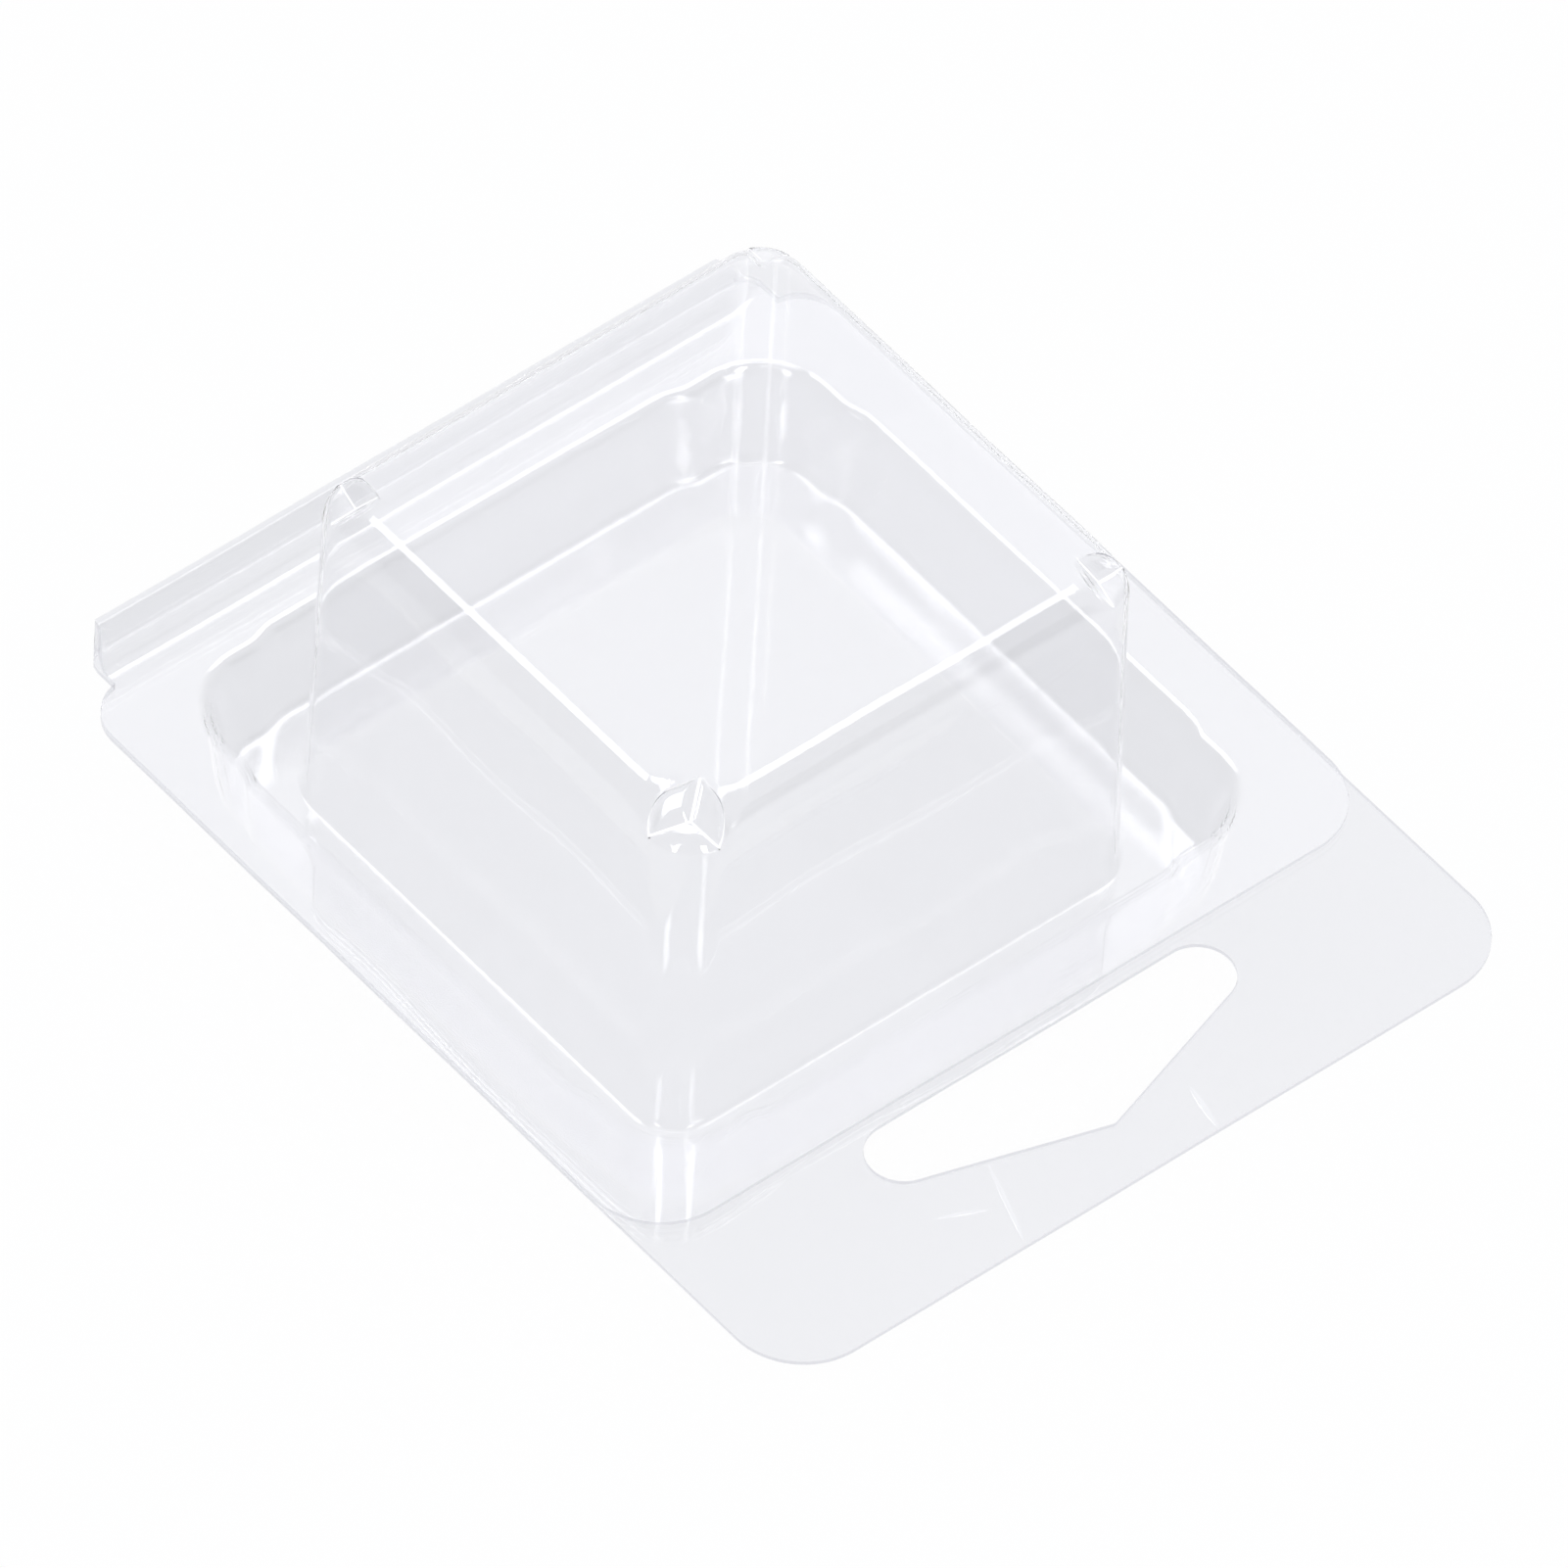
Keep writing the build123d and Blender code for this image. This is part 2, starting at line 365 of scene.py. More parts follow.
def roll_lip(around, rest, peak, size):
    """Rolls the sheet down beside a dimple: little at its peak, more at its shoulders."""
    def drop(v):
        away = smooth((v.co - peak).length / (LIP_SHOULDER * size))
        return LIP_DROP * size * (LIP_PEAK_SHARE + (1 - LIP_PEAK_SHARE) * away)

    places = np.array([v.co for v in rest])
    for v in around:
        gap = np.linalg.norm(places - np.array(v.co), axis=1).min() / size
        v.co.z -= drop(v) * math.exp(-(gap / LIP_WIDTH) ** 2)
    for v in rest:
        v.co.z -= drop(v)


def cut_dimple(bm, sheet, side, corner, size, depth):
    """Sinks one top corner of one face of the dome: two hollows that meet in a fold, over a flat ledge."""
    layer = bm.faces.layers.int["side"]
    shrink = 0.0 if side == 1 else sheet.thickness
    out = Vector((*corner, 0)).normalized()
    across = Vector((-out.y, out.x, 0))
    outside = sheet.cavity / 2 + sheet.thickness
    radius = sheet.cavity_corner + sheet.thickness
    edge = (outside - radius) * math.sqrt(2) + radius
    top = sheet.top + sheet.thickness
    axis = Vector((0, sheet.dome_y, 0))

    def spot(back, aside, down):
        """A place measured from the corner's outermost point at the dome's top."""
        return axis + out * (edge - back * size) + across * aside * size + Vector((0, 0, top - down * size))

    apex, inner = spot(*DIMPLE_APEX), spot(*DIMPLE_HEART)
    ledge = inner.z - shrink
    planes = []
    for tip in (spot(*place) for place in DIMPLE_TIPS):
        normal = (tip - apex).cross(inner - apex).normalized()
        normal = normal if normal.z > 0 else -normal
        planes.append((tip - normal * shrink, normal))
    reach_back, reach_aside, reach_down = DIMPLE_REACH

    def near():
        """Faces round the corner, down to a little below the ledge."""
        return [f for f in bm.faces if f[layer] == side and all(
            (v.co - axis).dot(out) > edge - reach_back and abs((v.co - axis).dot(across)) < reach_aside
            and v.co.z > ledge - reach_down for v in f.verts)]

    def split(faces, place, normal):
        """Cuts faces along a plane."""
        edges = list({e for f in faces for e in f.edges})
        points = list({v for f in faces for v in f.verts})
        bmesh.ops.bisect_plane(bm, geom=edges + points + faces, dist=1e-5, plane_co=place, plane_no=normal)

    split(near(), Vector((0, 0, ledge)), Vector((0, 0, 1)))
    for place, normal in planes:
        split([f for f in near() if f.calc_center_median().z > ledge], place, normal)
    gone = []
    for face in near():
        middle = face.calc_center_median()
        if middle.z > ledge and all((middle - place).dot(normal) > 1e-6 for place, normal in planes):
            gone.append(face)
    bmesh.ops.delete(bm, geom=gone, context="FACES")
    arc, rest = open_edge(bm, ledge, across)
    crown = min(rest, key=lambda v: sum(abs((v.co - place).dot(normal)) for place, normal in planes))
    turn = rest.index(crown)
    rows = Matrix([normal for _, normal in planes] + [(0, 0, 1)])
    offsets = Vector([place.dot(normal) for place, normal in planes] + [ledge])
    heart = bm.verts.new(rows.inverted() @ offsets)
    left_chord = between(bm, arc[0], heart, 8)
    right_chord = between(bm, arc[-1], heart, 8)
    fold = between(bm, heart, crown, 12)
    made = [bm.faces.new(arc + right_chord + [heart] + left_chord[::-1])]
    right = [arc[-1]] + rest[:turn + 1] + fold[::-1] + [heart] + right_chord[::-1]
    left = rest[turn:] + [arc[0]] + left_chord + [heart] + fold
    for edge_loop, (_, normal) in ((right, planes[1]), (left, planes[0])):
        dish = hollow_fill(bm, edge_loop, normal, depth)
        if side == 1:
            # The ring along each hollow's crease, on the outer face, takes the painted crease highlight
            for face in dish[:len(edge_loop)]:
                face.material_index = CREASE
        made += dish
    for face in made:
        face[layer] = side
        face.smooth = True
    around = {v for face in near() for v in face.verts} - {v for face in made for v in face.verts}
    roll_lip(around, rest, crown.co.copy(), size)


def ridge_rows(sheet, skin):
    """Places across the ridge, from the neck to the fold, and their heights above the flange."""
    spread = sheet.ridge * sheet.ridge_slope + sheet.thickness
    middle = sheet.fold_end - RIDGE_INSET - spread - sheet.ridge_top / 2
    foot = sheet.ridge_top / 2 + sheet.ridge * sheet.ridge_slope + skin
    crown = sheet.ridge_top / 2 + skin
    rows = [(sheet.neck_y + 0.1, 0.0), (sheet.neck_y + 0.2, 0.0)]
    bend = sheet.ridge_foot + (sheet.thickness - skin)
    for angle in np.radians(np.linspace(0, 85, 11)):
        rows.append((middle - foot - bend * 0.92 + bend * math.sin(angle), bend * (1 - math.cos(angle))))
    for share in (0.45, 0.6, 0.75, 0.88):
        rows.append((middle - foot + (foot - crown) * share, sheet.ridge * share))
    edge = RIDGE_EDGE + skin
    tops = []
    for angle in np.radians(np.linspace(0, 90, 13)):
        tops.append((crown - edge + edge * math.cos(angle), sheet.ridge - edge + edge * math.sin(angle)))
    rows += [(middle - across, height) for across, height in tops]
    rows += [(middle + across, height) for across, height in reversed(tops)]
    for share in (0.8, 0.6, 0.4, 0.2, 0.05):
        rows.append((middle + foot - (foot - crown) * share, sheet.ridge * share))
    rows.append((sheet.fold_end - 0.02, 0.0))
    rows.append((sheet.fold_end, 0.0))
    return rows


def strip(sheet, first, skin, z, ridge):
    """Rows of points for the narrow strip at the fold, starting after the flange's back edge."""
    length_left = sheet.fold_end - sheet.neck_y
    plain = [(sheet.neck_y + share * length_left, 0.0) for share in (0.2, 0.4, 0.6, 0.8, 0.9, 0.96, 1.0)]
    rows = ridge_rows(sheet, skin) if ridge else plain
    x = first[:, 0]
    bend_y = sheet.fold_end - sheet.neck_corner
    right_end = smooth((sheet.neck_half - x) / sheet.ridge_end)
    result = []
    for y, height in rows:
        over = max(0.0, y - bend_y)
        pull = sheet.neck_corner - math.sqrt(max(sheet.neck_corner ** 2 - over ** 2, 0.0))
        squeeze = 1 - smooth((np.abs(x) - sheet.neck_half + NECK_PULL) / NECK_PULL) * pull / sheet.neck_half
        result.append(np.stack([x * squeeze, np.full(len(x), y), z + height * right_end], 1))
    return result


def wall_rings(sheet, grow, radius, floor, flange, bend, rim):
    """Rings of the plug's or the dish's wall, from floor to flange. grow sets it outside the plug."""
    rings = []

    def ring(half, corner, z):
        rings.append(lift(sheet.plug_plan(half, corner), z))

    half = sheet.plug_at(floor) + grow
    for angle in np.radians(np.linspace(0, 90 - PLUG_DRAFT, 14)):
        out = bend * math.sin(angle) - bend
        ring(half + out, radius + out, floor + bend - bend * math.cos(angle))
    for z in np.linspace(floor + bend, flange - rim, 9)[1:-1]:
        ring(sheet.plug_at(z) + grow, radius, z)
    half = sheet.plug_at(flange) + grow
    for angle in np.radians(np.linspace(PLUG_DRAFT, 90, 22)):
        out = rim - rim * math.cos(angle)
        ring(half + out, radius + out, flange - rim + rim * math.sin(angle))
    return rings


def flange_rings(wall, outline, z):
    """Rings of a flange, from its wall to its cut outline."""
    inner = wall[:, :2]
    return [lift(inner + (outline - inner) * share, z) for share in FLANGE_SHARES]


def cavity_points(sheet, skin):
    """Rings of one face of the upper half, from the dome's top to the flange's edge."""
    t = sheet.thickness
    top, floor, flange = sheet.top + skin, sheet.plug_floor + skin, sheet.cavity_flange + skin
    edge = sheet.cavity_edge + skin
    upright = sheet.cavity_corner + skin
    rings = []

    def ring(half, corner, z):
        rings.append(lift(plan(sheet.dome_y, half, corner), z))

    flat_half = sheet.dome_half(top - edge, skin) - edge
    flat_corner = upright - edge
    for share in [0.02, 0.12, 0.25, 0.38, 0.5, 0.6, 0.68] + list(np.linspace(0.74, 1.0, 16)):
        ring(flat_half * share, max(flat_corner * share, 0.004), top)
    for angle in np.radians(np.linspace(0, 90 - DOME_DRAFT, 18)[1:]):
        grow = edge * math.sin(angle)
        ring(flat_half + grow, flat_corner + grow, top - edge + edge * math.cos(angle))
    bend = sheet.dome_foot + t - skin
    for z in np.linspace(top - edge, floor + bend, 18)[1:-1]:
        ring(sheet.dome_half(z, skin), upright, z)
    foot = sheet.dome_half(floor, skin)
    for angle in np.radians(np.linspace(0, 90, 7)):
        grow = bend - bend * math.cos(angle)
        ring(foot + grow, upright + grow, floor + bend - bend * math.sin(angle))
    inner = rings[-1][:, :2]
    wall = wall_rings(sheet, -skin, sheet.plug_corner - skin, floor, flange,
                      sheet.moat_bend + t - skin, sheet.rim + t + skin)
    outer = wall[0][:, :2]
    moat = [lift(inner + (outer - inner) * share, floor) for share in (0.25, 0.5, 0.75)]
    outline = sheet.outline(sheet.front_y, sheet.outer_corner)
    return rings + moat + wall + flange_rings(wall[-1], outline, flange)


def lid_points(sheet, skin):
    """Rings of one face of the lower half, from the floor's middle to the flange's edge."""
    flange = sheet.lid_flange + skin
    grow = sheet.dish_gap + sheet.thickness - skin
    wall = wall_rings(sheet, grow, sheet.plug_corner + grow, skin, flange,
                      sheet.dish_bend + sheet.thickness - skin, sheet.rim + skin)
    flat = wall[0][:, :2]
    middle = np.array([0, sheet.plug_y])
    shares = np.concatenate([[0.02], np.linspace(0.1, 0.94, 12)])
    floor = [lift(middle + (flat - middle) * share, skin) for share in shares]
    outline = sheet.outline(sheet.front_y - TAB_START, 0)
    return floor + wall + flange_rings(wall[-1], outline, flange)


def tab_rings(sheet, edge, z):
    """Rings of the hang tab, from its outer edge to the delta hole. edge is the flange's front side."""
    wide, corner = sheet.flange_half, sheet.outer_corner
    side, arc, front = 10, 16, 48
    back_y = edge[0, 1]
    downs = np.arange(side) / side
    turn = np.arange(arc) / arc * np.pi / 2
    right = np.stack([np.full(side, wide), back_y + (sheet.tab_y + corner - back_y) * downs], 1)
    arc_x, arc_y = wide - corner + corner * np.cos(turn), sheet.tab_y + corner - corner * np.sin(turn)
    right_arc = np.stack([arc_x, arc_y], 1)
    across = np.arange(front) / front
    low = np.stack([(1 - 2 * across) * (wide - corner), np.full(front, sheet.tab_y)], 1)
    mirror = np.array([-1, 1])
    left_arc = np.concatenate([[[-(wide - corner), sheet.tab_y]], (right_arc * mirror)[:0:-1]])
    left = np.concatenate([[[-wide, sheet.tab_y + corner]], (right * mirror)[:0:-1]])
    outer = np.concatenate([edge[:, :2], right, right_arc, low, left_arc, left])

    base_y = sheet.front_y - sheet.hole_offset
    end = sheet.hole_end
    end_x = sheet.hole / 2 - end
    apex_y = base_y - sheet.hole_depth
    apex_r = HOLE_APEX
    to_apex = np.array([-end_x, (apex_y + apex_r) - (base_y - end)])
    gap = math.hypot(*to_apex)
    last = math.atan2(to_apex[1], to_apex[0]) + math.acos((end - apex_r) / gap)
    shares = side_shares()
    base = np.stack([(2 * shares - 1) * end_x, np.full(SIDE_STEPS, base_y)], 1)
    sweep = np.pi / 2 + (last - np.pi / 2) * np.arange(side + arc) / (side + arc)
    round_end = np.stack([end_x + end * np.cos(sweep), base_y - end + end * np.sin(sweep)], 1)
    first = np.array([end_x + end * math.cos(last), base_y - end + end * math.sin(last)])
    touch = np.array([apex_r * math.cos(last), apex_y + apex_r + apex_r * math.sin(last)])
    run = front // 2 - 4
    line = first + (touch - first) * (np.arange(run) / run)[:, None]
    nose = last + (-np.pi / 2 - last) * np.arange(4) / 4
    tip = np.stack([apex_r * np.cos(nose), apex_y + apex_r + apex_r * np.sin(nose)], 1)
    half = np.concatenate([line, tip])
    slant = np.concatenate([half, [[0.0, apex_y]], (half * mirror)[:0:-1]])
    left_end = np.concatenate([[first * mirror], (round_end * mirror)[:0:-1]])
    hole = np.concatenate([base, round_end, slant, left_end])
    rings = []
    for share in (0.0, 0.03, 0.08, 0.16, 0.28, 0.42, 0.58, 0.72, 0.84, 0.92, 0.97, 1.0):
        rings.append(lift(outer + (hole - outer) * share, z))
    return rings


def strip_faces(start, rows, columns):
    """Quads of a grid whose first point is at start."""
    faces = []
    for row in range(rows - 1):
        for column in range(columns - 1):
            a = start + row * columns + column
            faces.append((a, a + columns, a + columns + 1, a + 1))
    return faces


def uneven(sheet, points, height):
    """Moves points by the gentle unevenness of a formed sheet. Both faces and both halves move together."""
    rng = np.random.default_rng(7)
    shift = np.zeros_like(points)
    for axis in range(3):
        for _ in range(WAVES):
            wave = rng.normal(0, 1, 3)
            wave *= 2 * np.pi / (np.linalg.norm(wave) * rng.uniform(*WAVE_LENGTHS))
            shift[:, axis] += np.sin(points @ wave + rng.uniform(0, 2 * np.pi))
    shift *= height / math.sqrt(WAVES)
    reach = np.maximum(np.abs(points[:, 0]), np.abs(points[:, 1] - sheet.plug_y))
    inside = 1 - smooth((reach - sheet.plug_half) / WAVE_FADE)
    shift[:, :2] *= inside[:, None]
    shift[:, 2] *= 1 - smooth((points[:, 2] - sheet.top + TOP_FADE) / TOP_FADE)
    shift *= smooth((points[:, 2] - FLOOR_STILL) / WAVE_FADE)[:, None]
    return points + shift


def weld(outer, inner, faces):
    """Joins points that lie on each other."""
    _, first, same = np.unique(np.round(outer, 4), axis=0, return_index=True, return_inverse=True)
    same = same.ravel()
    joined = []
    for face in faces:
        corners = [int(same[v]) for v in face]
        corners = [v for i, v in enumerate(corners) if v != corners[i - 1]]
        if len(corners) > 2:
            joined.append(tuple(corners))
    return outer[first], inner[first], joined


def to_object(bm, name):
    """Puts a finished mesh into the scene."""
    mesh = bpy.data.meshes.new(name)
    bm.to_mesh(mesh)
    bm.free()
    obj = bpy.data.objects.new(name, mesh)
    bpy.context.scene.collection.objects.link(obj)
    return obj


def solid_sheet(name, sheet, outer, inner, faces, ripple, dimples=()):
    """Closed sheet between two faces of the same make-up, with its top corners sunk to dimples."""
    outer, inner, faces = weld(outer, inner, faces)
    bm = bmesh.new()
    layer = bm.faces.layers.int.new("side")
    tops, unders = ([bm.verts.new(p) for p in points] for points in (outer, inner))
    seen = {}
    for face in faces:
        bm.faces.new([tops[v] for v in face])[layer] = 1
        bm.faces.new([unders[v] for v in reversed(face)])[layer] = 2
        for a, b in zip(face, face[1:] + face[:1]):
            key = (min(a, b), max(a, b))
            seen[key] = None if key in seen else (a, b)
    for a, b in (edge for edge in seen.values() if edge):
        wall = bm.faces.new((tops[b], tops[a], unders[a], unders[b]))
        joined = all(abs(v.co.y - sheet.fold_end) < 1e-3 for v in wall.verts)
        wall.material_index = JOIN if joined else CUT
        for edge in (wall.edges[0], wall.edges[2]):
            edge.smooth = False
    for face in bm.faces:
        face.smooth = True
    for corner, size, depth in dimples:
        for side in (1, 2):
            cut_dimple(bm, sheet, side, corner, size, depth)
    bmesh.ops.recalc_face_normals(bm, faces=bm.faces)
    places = uneven(sheet, np.array([v.co for v in bm.verts]), ripple)
    for v, place in zip(bm.verts, places):
        v.co = place * MM
    bm.faces.layers.int.remove(layer)
    return to_object(bm, name)


def tab_marks(sheet, ripple):
    """Faint creases across the hang tab, as low clear ridges on the sheet."""
    bm = bmesh.new()
    z = sheet.lid_flange + sheet.thickness + TAB_CREASE_LIFT
    for start, end, width in TAB_CREASES:
        start, run = np.array(start), np.array(end) - np.array(start)
        side = np.array([-run[1], run[0]]) / np.linalg.norm(run)
        rows = []
        for share in np.linspace(0, 1, 15):
            middle = start + run * share
            swell = 0.1 + 0.9 * math.sin(math.pi * share) ** 0.7
            row = []
            for across in np.linspace(-1, 1, 9):
                height = TAB_CREASE_RISE * swell * (1 - across**2)
                row.append([*(middle + side * width / 2 * swell * across), z + height])
            rows.append([bm.verts.new(place) for place in uneven(sheet, np.array(row), ripple)])
        for before, after in zip(rows, rows[1:]):
            for i in range(1, len(before)):
                bm.faces.new((before[i - 1], before[i], after[i], after[i - 1])).smooth = True
            bm.faces.new((before[-1], before[0], after[0], after[-1]))
        bm.faces.new(rows[0])
        bm.faces.new(rows[-1])
    bmesh.ops.recalc_face_normals(bm, faces=bm.faces)
    for face in bm.faces:
        if not face.smooth:
            for edge in face.edges:
                edge.smooth = False
    bmesh.ops.scale(bm, vec=(MM, MM, MM), verts=bm.verts)
    return to_object(bm, "tab_creases")


def sheet_group():
    """Fine unevenness of a cut edge: a slow ripple and a fine grain, as a height."""
    group = bpy.data.node_groups.get("Formed sheet")
    if group:
        return group
    group = bpy.data.node_groups.new("Formed sheet", "ShaderNodeTree")
    face = group.interface
    for name, default in (("Ripple scale", 160.0), ("Grain scale", 2600.0), ("Grain share", 0.05)):
        socket = face.new_socket(name, in_out="INPUT", socket_type="NodeSocketFloat")
        socket.default_value = default
    face.new_socket("Height", in_out="OUTPUT", socket_type="NodeSocketFloat")
    nodes, links = group.nodes, group.links
    given, result = nodes.new("NodeGroupInput"), nodes.new("NodeGroupOutput")
    place = nodes.new("ShaderNodeTexCoord")
    slow, fine = nodes.new("ShaderNodeTexNoise"), nodes.new("ShaderNodeTexNoise")
    slow.inputs["Detail"].default_value = 0.0
    fine.inputs["Detail"].default_value = 0.0
    for node, scale in ((slow, "Ripple scale"), (fine, "Grain scale")):
        links.new(place.outputs["Object"], node.inputs["Vector"])
        links.new(given.outputs[scale], node.inputs["Scale"])
    total = nodes.new("ShaderNodeMath")
    total.operation = "MULTIPLY_ADD"
    links.new(fine.outputs["Fac"], total.inputs[0])
    links.new(given.outputs["Grain share"], total.inputs[1])
    links.new(slow.outputs["Fac"], total.inputs[2])
    links.new(total.outputs[0], result.inputs["Height"])
    return group


def bare_material(name):
    """A new material without nodes."""
    material = bpy.data.materials.new(name)
    material.use_nodes = True
    material.node_tree.nodes.clear()
    return material, material.node_tree.nodes, material.node_tree.links


def clear_material(name, colour, index, roughness=0.0, grain_share=0.0, bump=0.0):
    """Clear sheet that lets lamps through. bump gives it a ripple and a grain."""
    if name in bpy.data.materials:
        return bpy.data.materials[name]
    material, nodes, links = bare_material(name)
    glass = nodes.new("ShaderNodeBsdfPrincipled")
    for socket, value in (("Base Color", (*colour, 1)), ("Roughness", roughness), ("IOR", index),
                          ("Transmission Weight", 1.0), ("Coat Weight", 1.0),
                          ("Coat Roughness", roughness), ("Coat IOR", 1.5)):
        glass.inputs[socket].default_value = value
    if bump:
        group = nodes.new("ShaderNodeGroup")
        group.node_tree = sheet_group()
        group.inputs["Grain share"].default_value = grain_share
        relief = nodes.new("ShaderNodeBump")
        relief.inputs["Strength"].default_value = bump
        relief.inputs["Distance"].default_value = 0.0002
        links.new(group.outputs["Height"], relief.inputs["Height"])
        links.new(relief.outputs["Normal"], glass.inputs["Normal"])
        links.new(relief.outputs["Normal"], glass.inputs["Coat Normal"])
    passing = nodes.new("ShaderNodeBsdfTransparent")
    passing.inputs["Color"].default_value = (*[0.99 * c for c in colour], 1)
    path = nodes.new("ShaderNodeLightPath")
    straight = nodes.new("ShaderNodeMath")
    straight.operation = "MAXIMUM"
    links.new(path.outputs["Is Shadow Ray"], straight.inputs[0])
    links.new(path.outputs["Is Diffuse Ray"], straight.inputs[1])
    either = nodes.new("ShaderNodeMixShader")
    links.new(straight.outputs[0], either.inputs[0])
    links.new(glass.outputs[0], either.inputs[1])
    links.new(passing.outputs[0], either.inputs[2])
    result = nodes.new("ShaderNodeOutputMaterial")
    links.new(either.outputs[0], result.inputs[0])
    return material


def join_material():
    """Nothing to see where the fold runs on into a half."""
    if "Fold join" in bpy.data.materials:
        return bpy.data.materials["Fold join"]
    material, nodes, links = bare_material("Fold join")
    passing = nodes.new("ShaderNodeBsdfTransparent")
    result = nodes.new("ShaderNodeOutputMaterial")
    links.new(passing.outputs[0], result.inputs[0])
    return material


def painted_crease_highlight_material(colour):
    """Painted highlight: opaque white where the sheet is creased, standing in for the reflection the crease
    band catches.
    """
    material = bpy.data.materials.new("Painted crease highlight")
    material.use_nodes = True
    white = material.node_tree.nodes["Principled BSDF"]
    white.inputs["Base Color"].default_value = (*colour, 1)
    white.inputs["Roughness"].default_value = 0.7
    return material


def finish_sheet(obj, finish):
    """Gives a piece the clear finish, its cut edges a rough finish with a grey tint of painted shade, and
    its joins theirs.
    """
    for material in (clear_material("Clear sheet", finish.colour, finish.index),
                     clear_material("Cut edge", finish.edge_shade_colour, finish.index, 0.3, 0.3, 0.15),
                     join_material()):
        obj.data.materials.append(material)


def finish_dome(obj, sheet, finish):
    """Gives the creases their painted highlight and the dome's sheet its own finish."""
    obj.data.materials.append(painted_crease_highlight_material(finish.crease_highlight_colour))
    obj.data.materials.append(clear_material("Dome sheet", finish.colour, finish.dome_index))
    low = sheet.cavity_flange + sheet.ridge
    back = sheet.dome_y + sheet.cavity / 2 + sheet.cavity_corner
    for face in obj.data.polygons:
        middle = face.center / MM
        if face.material_index == CLEAR and middle.z > low and middle.y < back:
            face.material_index = DOME


class MOULD_OT_cavity_half(bpy.types.Operator):
    """Upper half: dome, moat, flange and the ridge along the fold"""
    bl_idname = "mould.cavity_half"
    bl_label = "Cavity half"

    def execute(self, context):
        scene = context.scene
        sheet = Sheet(scene.mould_sizes)
        both = []
        for skin in (sheet.thickness, 0.0):
            rings = cavity_points(sheet, skin)
            back = rings[-1][BACK_START:BACK_START + SIDE_STEPS + 1]
            rows = [back] + strip(sheet, back, skin, sheet.cavity_flange + skin, True)
            both.append(np.concatenate(rings + rows))
        around = len(rings[0])
        faces = [tuple(range(around))] + rings_to_faces(len(rings), around)
        faces += strip_faces(len(rings) * around, len(rows), SIDE_STEPS + 1)
        obj = solid_sheet("cavity_sheet", sheet, *both, faces, scene.mould_finish.ripple / MM, DIMPLES)
        finish_sheet(obj, scene.mould_finish)
        finish_dome(obj, sheet, scene.mould_finish)
        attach(obj, "cavity")
        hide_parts("cavity_half")
        return {"FINISHED"}


class MOULD_OT_lid_half(bpy.types.Operator):
    """Lower half: dish, flange and hang tab"""
    bl_idname = "mould.lid_half"
    bl_label = "Lid half"

    def execute(self, context):
        scene = context.scene
        sheet = Sheet(scene.mould_sizes)
        both = []
        for skin in (sheet.thickness, 0.0):
            rings = lid_points(sheet, skin)
            back = rings[-1][BACK_START:BACK_START + SIDE_STEPS + 1]
            rows = [back] + strip(sheet, back, skin, sheet.lid_flange + skin, False)
            tab = tab_rings(sheet, rings[-1][:SIDE_STEPS], sheet.lid_flange + skin)
            both.append(np.concatenate(rings + rows + tab))
        around = len(rings[0])
        grid_start = len(rings) * around
        tab_start = grid_start + len(rows) * (SIDE_STEPS + 1)
        faces = [tuple(range(around))] + rings_to_faces(len(rings), around)
        faces += strip_faces(grid_start, len(rows), SIDE_STEPS + 1)
        faces += [tuple(v + tab_start for v in face) for face in rings_to_faces(len(tab), len(tab[0]))]
        obj = solid_sheet("lid_sheet", sheet, *both, faces, scene.mould_finish.ripple / MM)
        finish_sheet(obj, scene.mould_finish)
        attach(obj, "lid")
        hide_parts("lid_half")
        marks = tab_marks(sheet, scene.mould_finish.ripple / MM)
        marks.data.materials.append(bpy.data.materials["Clear sheet"])
        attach(marks, "lid")
        return {"FINISHED"}


class MOULD_OT_fold(bpy.types.Operator):
    """Rounded bend of the sheet along the fold, between the two halves"""
    bl_idname = "mould.fold"
    bl_label = "Fold"

    def execute(self, context):
        scene = context.scene
        sheet = Sheet(scene.mould_sizes)
        half = sheet.neck_half - sheet.neck_corner
        columns, turns = 41, 33
        across = np.linspace(half, -half, columns)
        both = []
        for radius in (sheet.seam / 2 + sheet.thickness, sheet.seam / 2):
            rows = []
            for angle in np.radians(np.linspace(90, -90, turns)):
                y = sheet.fold_end + radius * math.cos(angle)
                z = sheet.seam_z + radius * math.sin(angle)
                rows.append(np.stack([across, np.full(columns, y), np.full(columns, z)], 1))
            both.append(np.concatenate(rows))
        faces = strip_faces(0, turns, columns)
        obj = solid_sheet("fold_web", sheet, *both, faces, scene.mould_finish.ripple / MM)
        finish_sheet(obj, scene.mould_finish)
        y, z = sheet.fold_end * MM, sheet.seam_z * MM
        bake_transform(obj)
        return {"FINISHED"}


class MOULD_OT_stage(bpy.types.Operator):
    """White floor, soft light and the camera"""
    bl_idname = "mould.stage"
    bl_label = "Stage"

    def execute(self, context):
        scene = context.scene
        look = scene.mould_stage
        add_floor(scene, look)
        add_studio(scene, look)
        add_camera(scene)
        scene.view_settings.view_transform = "Standard"
        scene.cycles.max_bounces = 24
        scene.cycles.transmission_bounces = 24
        scene.cycles.glossy_bounces = 24
        scene.cycles.transparent_max_bounces = 48
        return {"FINISHED"}


def stage_card(scene, name, corners):
    """Flat four-sided card of the stage."""
    mesh = bpy.data.meshes.new(name)
    mesh.from_pydata(corners, [], [(0, 1, 2, 3)])
    card = bpy.data.objects.new(name, mesh)
    scene.collection.objects.link(card)
    return card


